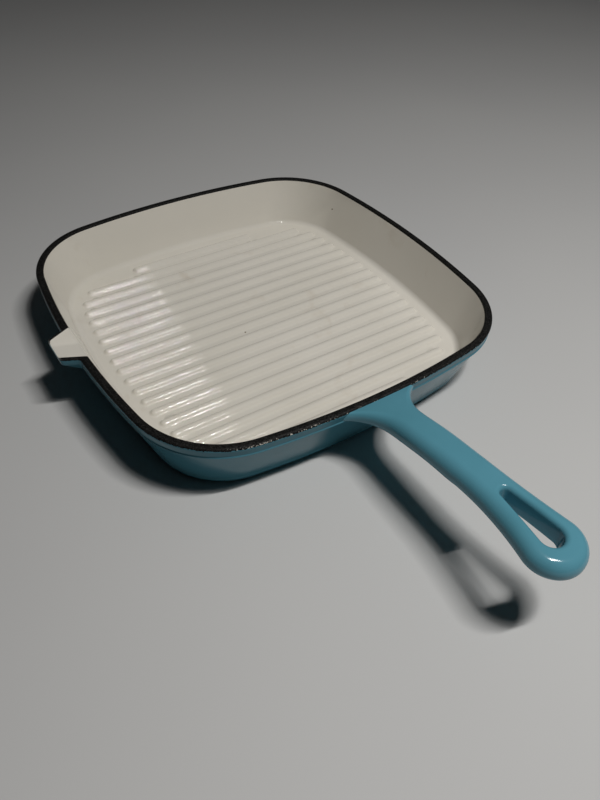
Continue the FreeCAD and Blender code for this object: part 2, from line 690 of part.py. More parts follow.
def slab(name, bottom, top):
    """A block between two levels, wider than the pan."""
    block = doc.addObject("Part::Box", name)
    block.Length = block.Width = 2 * HANDLE_REACH
    block.setExpression("Height", f"({top}) - ({bottom})")
    block.Placement.Base = FreeCAD.Vector(-HANDLE_REACH, -HANDLE_REACH, 0)
    block.setExpression("Placement.Base.z", bottom)
    return block


def inside_zone():
    """The space whose coat is the cream one: a cup inside the iron wall, and the trough."""
    cup = new_body("inside_cup")
    slope = "tan(dims.inside_draft * 1 deg)"
    edge = "dims.rim_inside + dims.cream_edge"
    bottom = "(dims.foot_depth + dims.floor_height) / 2"
    low = new_sketch(cup, "inside_cup_bottom", "XY_Plane", bottom)
    bowed_square(low, f"{edge} - (dims.pan_height - {bottom}) * {slope}")
    high = new_sketch(cup, "inside_cup_top", "XY_Plane", f"dims.pan_height + {OVERSHOOT}")
    bowed_square(high, f"{edge} + {OVERSHOOT} * {slope}")
    loft(cup, "Additive", "inside_cup_loft", [low, high], True)
    trough = new_body("trough_space")
    loft(trough, "Additive", "trough_space_loft", trough_plans(trough, "dims.coat"), True)
    return fuse("inside_space", [cup, trough])


def build():
    fill_sheet()
    whole_bowl = bowl_form("whole_bowl", "0")
    iron_bowl = bowl_form("iron_bowl", "dims.coat")
    whole_handle = handle_form("whole_handle", "0")
    iron_handle = handle_form("iron_handle", "dims.coat")
    below_floor = slab("below_floor", "-dims.coat", "dims.floor_height - dims.coat")
    whole_ribs = boolean("Cut", "rib_outsides", fuse("rib_bars", rib_forms("rib", "0")), below_floor)
    iron_bars = fuse("rib_iron_bars", rib_forms("rib_iron", "dims.coat"))
    iron_ribs = boolean("Cut", "grill_ribs", iron_bars, below_floor)
    handle_iron = boolean("Cut", "handle_casting", iron_handle, iron_bowl)
    shell = boolean("Cut", "bowl_coat", whole_bowl, iron_bowl)
    inside = inside_zone()
    inside_coat = boolean("Common", "inside_coat", shell, inside)
    over_ribs = fuse("inside_coat_with_ribs", [inside_coat, whole_ribs])
    interior = boolean("Cut", "interior_enamel", over_ribs, iron_ribs)
    outside_coat = boolean("Cut", "outside_coat", shell, inside)
    free_coat = boolean("Cut", "outside_coat_around_handle", outside_coat, iron_handle)
    rim_foot = "dims.pan_height - dims.rim_coat_drop"
    rim = boolean("Common", "rim_enamel", free_coat, slab("rim_levels", rim_foot, str(HIGH)))
    wall_levels = slab("wall_levels", "dims.base_coat_top", rim_foot)
    wall = boolean("Common", "wall_enamel", free_coat, wall_levels)
    base_levels = slab("base_levels", "-dims.coat", "dims.base_coat_top")
    base = boolean("Common", "base_enamel", free_coat, base_levels)
    handle_skin = boolean("Cut", "handle_skin", whole_handle, iron_handle)
    handle_coat = boolean("Cut", "handle_enamel", handle_skin, whole_bowl)
    return {
        "bowl_casting": iron_bowl,
        "handle_casting": handle_iron,
        "grill_ribs": iron_ribs,
        "interior_enamel": interior,
        "wall_enamel": wall,
        "base_enamel": base,
        "handle_enamel": handle_coat,
        "rim_enamel": rim,
    }


def check(nodes):
    doc.recompute()
    for thing in doc.Objects:
        if "Invalid" in thing.State or "Error" in thing.State:
            raise RuntimeError(f"{thing.Name} did not recompute")
    for name, node in nodes.items():
        if node.Shape.isNull() or not node.Shape.isValid() or not node.Shape.Solids:
            raise RuntimeError(f"{name} has no valid solid")


def export(nodes):
    os.makedirs("parts", exist_ok=True)
    for name, node in nodes.items():
        node.Label = name
        node.Shape.exportStep(f"parts/{name}.step")


nodes = build()
check(nodes)
export(nodes)
for name, node in nodes.items():
    box = node.Shape.optimalBoundingBox(False, False)
    print(name, round(node.Shape.Volume, 1), len(node.Shape.Solids), len(node.Shape.Faces), box)
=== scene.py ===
"""Enamelled cast iron grill pan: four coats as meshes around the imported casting, and the studio.

Lengths of the pan are millimetres and become metres in new_mesh; lamps and materials are in metres.
+Z is up, the handle points along -Y and the spout along -X.
"""

import math

import bmesh
import bpy
import numpy as np
from mathutils import Matrix, Vector
from mathutils.geometry import delaunay_2d_cdt


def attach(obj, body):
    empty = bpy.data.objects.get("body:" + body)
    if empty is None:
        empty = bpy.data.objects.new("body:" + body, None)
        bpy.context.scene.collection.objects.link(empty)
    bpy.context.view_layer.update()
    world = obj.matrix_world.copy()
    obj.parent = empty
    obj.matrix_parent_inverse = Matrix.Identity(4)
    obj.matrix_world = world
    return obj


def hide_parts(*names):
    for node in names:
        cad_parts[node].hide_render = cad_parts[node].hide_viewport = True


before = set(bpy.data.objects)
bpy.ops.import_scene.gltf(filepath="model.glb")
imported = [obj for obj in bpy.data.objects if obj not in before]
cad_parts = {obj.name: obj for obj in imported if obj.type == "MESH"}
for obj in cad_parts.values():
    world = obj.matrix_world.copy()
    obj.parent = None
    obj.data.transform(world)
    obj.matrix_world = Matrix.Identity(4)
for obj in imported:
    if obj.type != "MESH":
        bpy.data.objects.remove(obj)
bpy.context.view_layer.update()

MM = 0.001

# plan: every horizontal outline is an offset of one square with bowed sides and round corners
CORNER = 66.3  # from the middle to a corner arc's centre, along X and along Y
BOW = 393.2  # from the middle back to the centre of a side's arc
CORNER_REACH = math.hypot(CORNER + BOW, CORNER)  # from a side arc's centre to a corner arc's centre
RIM = 124.8  # half width at the rim's inner edge

# section: heights are above the table, widths are half widths of the pan
HEIGHT = 43.0
FLOOR = 9.8
FLOOR_ROUND = 4.5
FLOOR_RING = 108.0  # here the walls' mesh meets the floor's mesh
INNER_SLOPE = math.tan(math.radians(19.0))
LIP = 0.8  # how far inside the rim's inner edge the rim's part of the section starts
INNER_ROUND = 0.9
OUTER_ROUND = 1.8
CREAM_EDGE = -0.4  # where the cream ends and the black starts, measured from the rim's inner edge
BLACK_FOOT = 41.9
COLLAR_SLOPE = math.tan(math.radians(11.4))
COLLAR_FOOT = (128.2, 35.2)
BEAD_TOP = 1.5  # the bead on the collar's foot: its height, its middle and how far it stands out
BEAD_MIDDLE = 0.75
BEAD_OUT = 0.85
LEDGE = 0.9
LEDGE_DROP = 0.45
WALL_SLOPE = math.tan(math.radians(19.6))
WALL_FOOT = 5.0  # the seam between the wall's coat and the base's
BASE_ROUND = 3.0
FOOT_INSIDE = 106.0
RECESS = 4.2
RECESS_MIDDLE = 96.0  # the last outline of the recess, which one face closes

# spout: u is the distance towards -X, v the distance from the spout's middle
SPOUT_Y = 1.4
BEAK_LEVELS = (  # height, tip, half width there, root, half width there
    (43.0, 139.3, 10.7, 127.0, 16.5),
    (38.4, 138.8, 10.4, 125.2, 16.6),
    (22.5, 121.0, 5.5, 119.5, 7.1))
BEAK_FOOT = BEAK_LEVELS[2][0] - 1.0  # below this height the outside is the plain wall
BEAK_ROUND = 2.2
BEAK_BLEND = 2.0
BEAK_NEAR = 6.0  # the beak is blended in where it comes this close to the wall's outside
DRAWN_OUT = 128.0  # from the rim's inner edge to here the rim's section is drawn out over the beak
TROUGH_START = 119.0
TROUGH_DEPTH = 33.7  # height of the trough's bottom at its start
TROUGH_RISE = 0.375
TROUGH_HALF = 17.5
TROUGH_TAPER = 11.5 / 24.0
TROUGH_FLANK = math.tan(math.radians(39.0))
TROUGH_ROUND = 2.6
TROUGH_FOOT = 36.0  # below this height the trough doesn't cut the outside
TROUGH_EDGE_IN = 1.0  # blends at the trough's edges, on the rim and the inside, and on the outside
TROUGH_EDGE_OUT = 0.5
CREAM_MARGIN = 0.5  # how far the cream reaches beyond the trough's edges

# ribs
RIBS = 19
PITCH = 11.04
RIB_HEIGHT = 2.4
FOOT_HALF = 4.4  # half width of a rib at its foot
CROWN_SHARE = 0.6  # the crown's share of the two radii in a rib's profile
RIB_RADIUS = 3.4  # room kept around the end of a rib's axis, inside the rib field's outline
RIB_FIELD = 105.7  # half width of the rib field along X
RIB_FIELD_DEPTH = 105.3  # and along Y
# the mesh's lines across half a rib, closer together on its hollow foot
RIB_LINES = (0, 0.5, 1.0, 1.45, 1.85, 2.2, 2.5, 2.8, 3.1, 3.4, 3.7, 4.0, 4.4)


def new_mesh(name, verts, faces):
    mesh = bpy.data.meshes.new(name)
    mesh.from_pydata([tuple(p) for p in np.asarray(verts) * MM], [], faces)
    mesh.update()
    for polygon in mesh.polygons:
        polygon.use_smooth = True
    piece = bpy.data.objects.new(name, mesh)
    bpy.context.collection.objects.link(piece)
    return piece


def clean(piece, outward):
    """Welds doubled points, drops faces without area and turns all faces the way outward(centre) points."""
    weld = 0.00002
    bm = bmesh.new()
    bm.from_mesh(piece.data)
    bmesh.ops.remove_doubles(bm, verts=bm.verts, dist=weld)
    bmesh.ops.dissolve_degenerate(bm, dist=weld, edges=bm.edges)
    loose = [v for v in bm.verts if not v.link_faces]
    bmesh.ops.delete(bm, geom=loose, context="VERTS")
    bmesh.ops.recalc_face_normals(bm, faces=bm.faces)
    if sum(f.normal.dot(outward(f.calc_center_median())) * f.calc_area() for f in bm.faces) < 0:
        bmesh.ops.reverse_faces(bm, faces=bm.faces)
    bm.to_mesh(piece.data)
    bm.free()


def smooth_max(a, b, k):
    """The larger of a and b, with a blend k wide where they cross."""
    h = np.clip(0.5 + 0.5 * (a - b) / k, 0, 1)
    return b + (a - b) * h + k * h * (1 - h)


def smooth_min(a, b, k):
    return -smooth_max(-a, -b, k)


def smooth_step(x, low, high):
    t = np.clip((x - low) / (high - low), 0, 1)
    return t * t * (3 - 2 * t)


# ------------------------------------------------------------------ section


def rounded_path(corners, step=0.25):
    """Polyline through corners (half width, height, radius), with arcs at the rounded ones."""
    points = []
    for i, (s, z, radius) in enumerate(corners):
        here = Vector((s, z))
        if not radius or i in (0, len(corners) - 1):
            points.append(here)
            continue
        back = (Vector(corners[i - 1][:2]) - here).normalized()
        ahead = (Vector(corners[i + 1][:2]) - here).normalized()
        half = back.angle(ahead) / 2
        centre = here + (back + ahead).normalized() * (radius / math.sin(half))
        first = here + back * (radius / math.tan(half)) - centre
        last = here + ahead * (radius / math.tan(half)) - centre
        turn = first.angle_signed(last)
        count = max(4, int(abs(turn) * radius / step))
        for k in range(count + 1):
            a = -turn * k / count
            points.append(centre + Vector((first.x * math.cos(a) - first.y * math.sin(a),
                                           first.x * math.sin(a) + first.y * math.cos(a))))
    return np.array([tuple(p) for p in points])


def densify(path, step):
    """The path with no piece longer than step."""
    out = [path[0]]
    for a, b in zip(path, path[1:]):
        count = max(1, int(math.ceil(np.linalg.norm(b - a) / step)))
        out += [a + (b - a) * k / count for k in range(1, count + 1)]
    return np.array(out)


def split_at(path, level):
    """Cuts a path that comes down through this level in two, with a point of its own there."""
    last = max(i for i in range(len(path)) if path[i][1] >= level)
    a, b = path[last], path[last + 1]
    cut = a + (b - a) * (a[1] - level) / (a[1] - b[1])
    return np.vstack([path[:last + 1], cut]), np.vstack([cut, path[last + 1:]])


COLLAR_TOP = COLLAR_FOOT[0] + (HEIGHT - COLLAR_FOOT[1]) * COLLAR_SLOPE
WALL_TOP = COLLAR_FOOT[0] - LEDGE
WALL_BASE = WALL_TOP - COLLAR_FOOT[1] * WALL_SLOPE
FLOOR_EDGE = RIM - (HEIGHT - FLOOR) * INNER_SLOPE
LIP_START = (RIM - LIP, HEIGHT - LIP / INNER_SLOPE, 0)
ON_COLLAR = 4 * (HEIGHT - BLACK_FOOT)  # how far down the collar the rim's path is drawn before the cut

INSIDE = densify(rounded_path([(FLOOR_RING, FLOOR, 0), (FLOOR_EDGE, FLOOR, FLOOR_ROUND), LIP_START]), 1.0)

RIM_TOP, BELOW_RIM = split_at(densify(rounded_path([
    LIP_START, (RIM, HEIGHT, INNER_ROUND), (COLLAR_TOP, HEIGHT, OUTER_ROUND),
    (COLLAR_TOP - ON_COLLAR * COLLAR_SLOPE, HEIGHT - ON_COLLAR, 0)]), 0.12), BLACK_FOOT)

OUTSIDE = densify(rounded_path([
    *[(*point, 0) for point in BELOW_RIM[:-1]],
    (COLLAR_FOOT[0] + BEAD_TOP * COLLAR_SLOPE, COLLAR_FOOT[1] + BEAD_TOP, 0.4),
    (COLLAR_FOOT[0] + BEAD_OUT, COLLAR_FOOT[1] + BEAD_MIDDLE, 0.35),
    (*COLLAR_FOOT, 0.3),
    (WALL_TOP, COLLAR_FOOT[1] - LEDGE_DROP, 0.5),
    (WALL_BASE, 0, BASE_ROUND),
    (FOOT_INSIDE, 0, 0.6),
    (FOOT_INSIDE - RECESS, RECESS, 0.6),
    (RECESS_MIDDLE, RECESS, 0)], 0.2), 1.2)
ON_TABLE = next(i for i in range(len(OUTSIDE)) if OUTSIDE[i][1] < 0.001) + 1
WALL, BASE = split_at(OUTSIDE[:ON_TABLE], WALL_FOOT)
BASE = np.vstack([BASE, OUTSIDE[ON_TABLE:]])


# ------------------------------------------------------------------ columns


SIDE_COLUMNS = 51
CORNER_COLUMNS = 48


def plan_columns():
    """Places around the rim, counterclockwise from +X: (side or corner, quarter, angle)."""
    reach = math.atan2(CORNER, CORNER + BOW)
    columns = []
    for quarter in range(4):
        if quarter == 2:
            angles = left_side_angles(reach)
        else:
            angles = np.linspace(-reach, reach, SIDE_COLUMNS + 1)[:-1]
        columns += [("side", quarter, a) for a in angles]
        around = np.linspace(reach, math.pi / 2 - reach, CORNER_COLUMNS + 1)[:-1]
        columns += [("corner", quarter, a) for a in around]
    return columns


def left_side_angles(reach):
    """Angles along the left side, close together at the spout."""
    end, first, last = 74.0, -26.0, 28.0
    places = np.concatenate([
        np.linspace(-end, first, 18)[:-1], np.linspace(first, last, 190)[:-1], np.linspace(last, end, 18)])
    angles = -np.arcsin(np.clip(places / (RIM + BOW), -1, 1))[::-1]
    angles = angles[(angles > -reach + 0.002) & (angles < reach - 0.002)]
    return np.concatenate([[-reach], angles])


COLUMNS = plan_columns()


def place(column, s):
    """Points x, y at the half widths s of one column."""
    kind, quarter, angle = column
    s = np.asarray(s, float)
    if kind == "corner":
        radius = s + BOW - CORNER_REACH
        x, y = CORNER + radius * math.cos(angle), CORNER + radius * math.sin(angle)
    else:
        start = (RIM + BOW) * math.sin(angle)
        drift = math.sin(angle) * (s - RIM)
        if quarter == 2:  # at the spout the columns are straight planes across the rim
            drift = drift * smooth_step(abs(start), 30.0, 50.0)
        y = start + drift
        x = np.sqrt((s + BOW) ** 2 - y ** 2) - BOW
    for _ in range(quarter):
        x, y = -y, x
    return x, y


def near_spout(column):
    return column[0] == "side" and column[1] == 2


def beak_reach(v, z):
    """How far the spout's outside reaches at height z and distance v from its middle."""
    v = np.abs(v)
    if z >= BEAK_LEVELS[1][0]:
        high, low = BEAK_LEVELS[0], BEAK_LEVELS[1]
    else:
        high, low = BEAK_LEVELS[1], BEAK_LEVELS[2]
    t = (high[0] - z) / (high[0] - low[0])
    tip, tip_half, root, root_half = [a + (b - a) * t for a, b in zip(high[1:], low[1:])]
    flank = tip - (v - tip_half) * (tip - root) / (root_half - tip_half)
    return smooth_min(np.full_like(v, tip), flank, BEAK_ROUND)


def trough_half(u):
    """Half width of the trough at the rim's level."""
    return TROUGH_HALF - (u - TROUGH_START) * TROUGH_TAPER


def trough_height(u, v):
    """Height of the trough's surface, which also goes on above the rim."""
    bottom = TROUGH_DEPTH + TROUGH_RISE * (u - TROUGH_START)
    flank = HEIGHT - (trough_half(u) - np.abs(v)) / TROUGH_FLANK
    return smooth_max(bottom, flank, TROUGH_ROUND)


def outside_points(column, path):
    """Places of an outside path at a column, pushed out where the beak is."""
    x, y = place(column, path[:, 0])
    z = path[:, 1].copy()
    if not near_spout(column):
        return np.column_stack([x, y, z])
    u, v = -x, y - SPOUT_Y
    for i in range(len(path)):
        if z[i] <= BEAK_FOOT:
            continue
        collar = COLLAR_FOOT[0] + (z[i] - COLLAR_FOOT[1]) * COLLAR_SLOPE
        inset = max(0.0, collar - path[i, 0]) if z[i] > COLLAR_FOOT[1] else 0.0
        beak = beak_reach(np.array([v[i]]), z[i])[0] - inset
        if beak > u[i] - BEAK_NEAR:
            u[i] = smooth_max(u[i], beak, BEAK_BLEND)
    z = np.where(z > TROUGH_FOOT, smooth_min(z, trough_height(u, v), TROUGH_EDGE_OUT), z)
    return np.column_stack([-u, y, z])


def top_points(column):
    """The rim's section from inside to outside, drawn out over the beak and cut down by the trough."""
    x, y = place(column, RIM_TOP[:, 0])
    if not near_spout(column):
        return np.column_stack([x, y, RIM_TOP[:, 1]])
    u = -x
    end = outside_points(column, RIM_TOP[-1:])[0]
    growth = -end[0] - u[-1]
    if growth > 0.01:
        u = u + growth * np.clip((RIM_TOP[:, 0] - RIM) / (DRAWN_OUT - RIM), 0, 1)
    u, y, z = densify(np.column_stack([u, y, RIM_TOP[:, 1]]), 0.15).T
    z = smooth_min(z, trough_height(u, y - SPOUT_Y), TROUGH_EDGE_IN)
    return np.column_stack([-u, y, z])


def inside_points(column):
    x, y = place(column, INSIDE[:, 0])
    z = INSIDE[:, 1].copy()
    if near_spout(column):
        z = smooth_min(z, trough_height(-x, y - SPOUT_Y), TROUGH_EDGE_IN)
    return np.column_stack([x, y, z])


def resample(points, count):
    steps = np.concatenate([[0], np.cumsum(np.linalg.norm(np.diff(points, axis=0), axis=1))])
    wanted = np.linspace(0, steps[-1], count)
    return np.column_stack([np.interp(wanted, steps, points[:, k]) for k in range(3)])


def split_top(points, column):
    """The cream and the black part of the rim's section; the cream also fills the trough."""
    edge = np.array(place(column, [RIM + CREAM_EDGE])).ravel()
    if near_spout(column):
        in_trough = trough_half(-points[:, 0]) + CREAM_MARGIN - np.abs(points[:, 1] - SPOUT_Y)
        margin = np.maximum(in_trough, points[:, 0] - edge[0])
    else:
        outward = points[-1, :2] - points[0, :2]
        margin = (edge - points[:, :2]) @ outward / np.linalg.norm(outward)
    inside = np.nonzero(margin > 0)[0]
    last = inside[-1] if len(inside) else 0
    if last >= len(points) - 1:
        return points, np.repeat(points[-1:], 2, axis=0)
    a, b = margin[last], margin[last + 1]
    cut = points[last] + (points[last + 1] - points[last]) * a / (a - b)
    return np.vstack([points[:last + 1], cut]), np.vstack([cut, points[last + 1:]])


def grid_faces(columns, rows):
    """Faces of a closed band with this many columns around it."""
    faces = []
    for c in range(columns):
        d = (c + 1) % columns
        for r in range(rows - 1):
            faces.append((c * rows + r, d * rows + r, d * rows + r + 1, c * rows + r + 1))
    return faces


CREAM_ROWS = 30
BLACK_ROWS = 22


def pan_surfaces():
    """The points of the cream, black, wall and base coats, one row of points per column."""
    cream, black, wall, base = [], [], [], []
    for column in COLUMNS:
        top = top_points(column)
        pale, dark = split_top(top, column)
        cream.append(np.vstack([inside_points(column)[:-1], resample(pale, CREAM_ROWS)]))
        black.append(resample(dark, BLACK_ROWS))
        wall.append(outside_points(column, WALL))
        wall[-1][0] = top[-1]
        base.append(outside_points(column, BASE))
    return [np.array(part) for part in (cream, black, wall, base)]


# ------------------------------------------------------------------ floor


def rib_half(y):
    """Half length of the rib at y, up to the centre of its round end."""
    edge = abs(y) + RIB_RADIUS
    bow = RIB_FIELD + BOW
    corner = bow - CORNER_REACH
    if edge <= CORNER:
        return math.sqrt(bow ** 2 - edge ** 2) - BOW - RIB_RADIUS
    if edge - CORNER < corner * 0.95:
        return CORNER + math.sqrt(corner ** 2 - (edge - CORNER) ** 2) - RIB_RADIUS
    return math.sqrt((RIB_FIELD_DEPTH + BOW) ** 2 - (edge + BOW) ** 2) - RIB_RADIUS


RIB_PLACES = [(i - (RIBS - 1) / 2) * PITCH for i in range(RIBS)]
RIB_HALVES = [rib_half(y) for y in RIB_PLACES]


def rib_profile(d):
    """Height of a rib above the floor at the distance d from its axis: a crown and a hollow foot."""
    turn = 2 * math.atan(RIB_HEIGHT / FOOT_HALF)
    both = FOOT_HALF / math.sin(turn)
    crown, foot = CROWN_SHARE * both, (1 - CROWN_SHARE) * both
    on_crown = RIB_HEIGHT - crown + np.sqrt(np.maximum(crown ** 2 - d ** 2, 0))
    on_foot = foot - np.sqrt(np.maximum(foot ** 2 - np.maximum(FOOT_HALF - d, 0) ** 2, 0))
    return np.where(d < crown * math.sin(turn), on_crown, on_foot)


def floor_height(x, y):
    z = np.full_like(x, FLOOR)
    for rib_y, half in zip(RIB_PLACES, RIB_HALVES):
        near = np.abs(y - rib_y) < PITCH / 2
        along = np.maximum(np.abs(x[near]) - half, 0)
        z[near] = FLOOR + rib_profile(np.hypot(along, y[near] - rib_y))
    return z


def in_floor(p):
    """Whether a point is well inside the ring where the walls start."""
    ring = FLOOR_RING + BOW - 0.6
    x, y = abs(p[0]), abs(p[1])
    if x > CORNER and y > CORNER:
        return math.hypot(x - CORNER, y - CORNER) < ring - CORNER_REACH
    if x > y:
        return math.hypot(x + BOW, y) < ring
    return math.hypot(y + BOW, x) < ring


def floor_surface(ring):
    """The floor inside a ring of points, with lines of the mesh along every rib and around its ends."""
    across = np.array([*RIB_LINES, 5.0])
    across = np.concatenate([-across[:0:-1], across])
    middle = np.arange(-96.0, 96.1, 6.0)
    inner = []
    for y, half in zip(RIB_PLACES, RIB_HALVES):
        tips = half + np.array([-0.9, *RIB_LINES, 5.2])
        xs = np.concatenate([-tips[::-1], middle[np.abs(middle) < half - 3], tips])
        inner += [(x, y + d) for d in across for x in xs if in_floor((x, y + d))]
    coords = [Vector((x, y)) for x, y in ring[:, :2]] + [Vector(p) for p in inner]
    border = [list(range(len(ring)))]
    verts, _, faces, _, _, _ = delaunay_2d_cdt(coords, [], border, 1, 1e-6)
    flat = np.array([tuple(v) for v in verts])
    z = floor_height(flat[:, 0], flat[:, 1])
    return np.column_stack([flat, z]), faces


# ------------------------------------------------------------------ pieces


def build_pan():
    """The four coats as objects: inside, rim, wall and base."""
    cream, black, wall, base = pan_surfaces()
    columns = len(COLUMNS)

    floor_verts, floor_faces = floor_surface(cream[:, 0, :])
    shift = columns * cream.shape[1]
    verts = np.vstack([cream.reshape(-1, 3), floor_verts])
    faces = grid_faces(columns, cream.shape[1])
    faces += [tuple(i + shift for i in face) for face in floor_faces]
    inside = new_mesh("inside_coat", verts, faces)
    clean(inside, lambda p: Vector((0, 0, 1)))

    rim = new_mesh("rim_coat", black.reshape(-1, 3), grid_faces(columns, black.shape[1]))
    clean(rim, lambda p: Vector((0, 0, 1)))

    outside = new_mesh("wall_coat", wall.reshape(-1, 3), grid_faces(columns, wall.shape[1]))
    clean(outside, lambda p: Vector((p.x, p.y, 0)))

    rows = base.shape[1]
    faces = grid_faces(columns, rows)
    faces.append(tuple(c * rows + rows - 1 for c in range(columns)))
    underside = new_mesh("base_coat", base.reshape(-1, 3), faces)
    clean(underside, lambda p: Vector((0, 0, -1)))
    return inside, rim, outside, underside


# ------------------------------------------------------------------ materials


class Nodes:
    """Short names for building a material's node tree."""

    def __init__(self, name):
        self.material = bpy.data.materials.new(name)
        self.material.use_nodes = True
        self.tree = self.material.node_tree
        self.tree.nodes.clear()
        self.shader = self.add("ShaderNodeBsdfPrincipled")
        output = self.add("ShaderNodeOutputMaterial")
        self.link(self.shader.outputs[0], output.inputs[0])
        self.coords = self.add("ShaderNodeTexCoord").outputs["Object"]

    def add(self, kind, **values):
        node = self.tree.nodes.new(kind)
        for key, value in values.items():
            setattr(node, key, value)
        return node

    def link(self, a, b):
        self.tree.links.new(a, b)

    def put(self, value, socket):
        """Links an output to the socket, or sets the socket to a number or a colour."""
        if isinstance(value, bpy.types.NodeSocket):
            self.link(value, socket)
        elif isinstance(value, tuple):
            socket.default_value = (*value, 1)
        else:
            socket.default_value = value

    def noise(self, scale, detail=2.0, roughness=0.5, distortion=0.0):
        node = self.add("ShaderNodeTexNoise")
        node.inputs["Scale"].default_value = scale
        node.inputs["Detail"].default_value = detail
        node.inputs["Roughness"].default_value = roughness
        node.inputs["Distortion"].default_value = distortion
        self.link(self.coords, node.inputs["Vector"])
        return node.outputs["Fac"]

    def cells(self, scale):
        node = self.add("ShaderNodeTexVoronoi")
        node.inputs["Scale"].default_value = scale
        self.link(self.coords, node.inputs["Vector"])
        return node

    def split(self, axis):
        node = self.add("ShaderNodeSeparateXYZ")
        self.link(self.coords, node.inputs[0])
        return node.outputs[axis]

    def ramp(self, value, *stops):
        node = self.add("ShaderNodeValToRGB")
        for element, (position, colour) in zip(node.color_ramp.elements, stops):
            element.position = position
            element.color = (*colour, 1)
        self.link(value, node.inputs["Fac"])
        return node.outputs["Color"]

    def range(self, value, low, high, to_low, to_high):
        node = self.add("ShaderNodeMapRange")
        for key, number in (("From Min", low), ("From Max", high), ("To Min", to_low), ("To Max", to_high)):
            node.inputs[key].default_value = number
        self.link(value, node.inputs["Value"])
        return node.outputs["Result"]

    def mix(self, factor, a, b):
        node = self.add("ShaderNodeMix", data_type="RGBA")
        self.put(factor, node.inputs[0])
        self.put(a, node.inputs[6])
        self.put(b, node.inputs[7])
        return node.outputs[2]

    def math(self, operation, a, b):
        node = self.add("ShaderNodeMath", operation=operation)
        self.put(a, node.inputs[0])
        self.put(b, node.inputs[1])
        return node.outputs[0]

    def bump(self, height, strength, distance, normal=None):
        node = self.add("ShaderNodeBump")
        node.inputs["Strength"].default_value = strength
        node.inputs["Distance"].default_value = distance
        self.link(height, node.inputs["Height"])
        if normal is not None:
            self.link(normal, node.inputs["Normal"])
        return node.outputs["Normal"]

    def specular(self, level):
        self.shader.inputs["Specular IOR Level"].default_value = level

    def finish(self, colour, roughness, normal=None):
        self.put(colour, self.shader.inputs["Base Color"])
        self.put(roughness, self.shader.inputs["Roughness"])
        if normal is not None:
            self.link(normal, self.shader.inputs["Normal"])
        return self.material


BLACK = (0, 0, 0)
WHITE = (1, 1, 1)
NEAR_RIM = -0.118  # only the rim on the handle's side lies beyond this y


def cream_material():
    """Glossy cream enamel with faint brown stains and a few dark specks."""
    n = Nodes("cream_enamel_look")
    colour = n.ramp(n.noise(14.0, 3.0), (0.3, (0.70, 0.67, 0.60)), (0.7, (0.74, 0.71, 0.645)))
    stain = n.ramp(n.noise(38.0, 4.0, 0.6, 0.4), (0.62, BLACK), (0.78, WHITE))
    colour = n.mix(n.math("MULTIPLY", stain, 0.18), colour, (0.42, 0.30, 0.17))
    specks = n.cells(210.0)
    rare = n.math("GREATER_THAN", specks.outputs["Color"], 0.93)
    dot = n.math("LESS_THAN", specks.outputs["Distance"], 0.16)
    colour = n.mix(n.math("MULTIPLY", dot, rare), colour, (0.16, 0.11, 0.07))
    roughness = n.range(n.noise(60.0, 3.0), 0.3, 0.7, 0.02, 0.05)
    wave = n.bump(n.noise(45.0, 2.0), 0.07, 0.0003)
    normal = n.bump(n.noise(420.0, 2.0), 0.03, 0.0001, wave)
    return n.finish(colour, roughness, normal)


def teal_material(name, ragged_black_and_painted_shade):
    """Teal enamel; for the wall it is darkened as painted shade, since the wall gets less light, and the
    rim's black runs raggedly down onto it.
    """
    n = Nodes(name)
    colour = n.ramp(n.noise(18.0, 3.0), (0.3, (0.085, 0.27, 0.345)), (0.7, (0.105, 0.31, 0.40)))
    roughness = n.range(n.noise(70.0, 3.0), 0.3, 0.7, 0.12, 0.22)
    wave = n.bump(n.noise(60.0, 2.0), 0.3, 0.001)
    normal = n.bump(n.noise(500.0, 2.0), 0.1, 0.0002, wave)
    n.specular(0.18 if ragged_black_and_painted_shade else 0.35)
    if ragged_black_and_painted_shade:
        # painted shade: the wall's copy of the teal is mixed 28 % towards black because the wall is lit
        # less than the handle and the base
        colour = n.mix(0.28, colour, BLACK)
        ragged = n.range(n.noise(700.0, 3.0, 0.6), 0.3, 0.7, -0.0004, 0.0004)
        black = n.math("GREATER_THAN", n.math("ADD", n.split("Z"), ragged), (BLACK_FOOT - 0.2) * MM)
        colour = n.mix(black, colour, (0.006, 0.006, 0.006))
    return n.finish(colour, roughness, normal)


def black_material():
    """Matt black enamel with pale flecks low on the near side, fewer to the right."""
    n = Nodes("black_enamel_look")
    colour = n.ramp(n.noise(1500.0, 3.0, 0.7), (0.45, (0.002, 0.002, 0.002)), (0.72, (0.04, 0.039, 0.037)))
    low = n.range(n.split("Z"), (HEIGHT - 0.8) * MM, (HEIGHT - 0.2) * MM, 1.0, 0.0)
    near = n.math("LESS_THAN", n.split("Y"), NEAR_RIM)
    rarer = n.range(n.split("X"), -0.06, 0.0, 0.0, 0.08)
    pale_flecks = n.math("GREATER_THAN", n.noise(1100.0, 2.0), n.math("ADD", rarer, 0.6))
    colour = n.mix(n.math("MULTIPLY", n.math("MULTIPLY", low, near), pale_flecks), colour, (0.6, 0.58, 0.52))
    roughness = n.range(n.noise(500.0, 2.0), 0.3, 0.7, 0.45, 0.7)
    n.specular(0.12)
    return n.finish(colour, roughness, n.bump(n.noise(1100.0, 3.0, 0.6), 0.6, 0.0003))


def iron_material():
    n = Nodes("iron_look")
    colour = n.ramp(n.noise(300.0, 4.0), (0.3, (0.03, 0.03, 0.03)), (0.7, (0.07, 0.065, 0.06)))
    return n.finish(colour, 0.7, n.bump(n.noise(900.0, 3.0), 0.5, 0.0004))


def floor_material():
    n = Nodes("floor_look")
    colour = n.ramp(n.noise(3.0, 2.0), (0.3, (0.55, 0.55, 0.55)), (0.7, (0.58, 0.58, 0.575)))
    return n.finish(colour, 0.7)


# ------------------------------------------------------------------ assembly


def wear(piece, material, node):
    """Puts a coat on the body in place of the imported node."""
    piece.data.materials.append(material)
    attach(piece, "root")
    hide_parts(node)


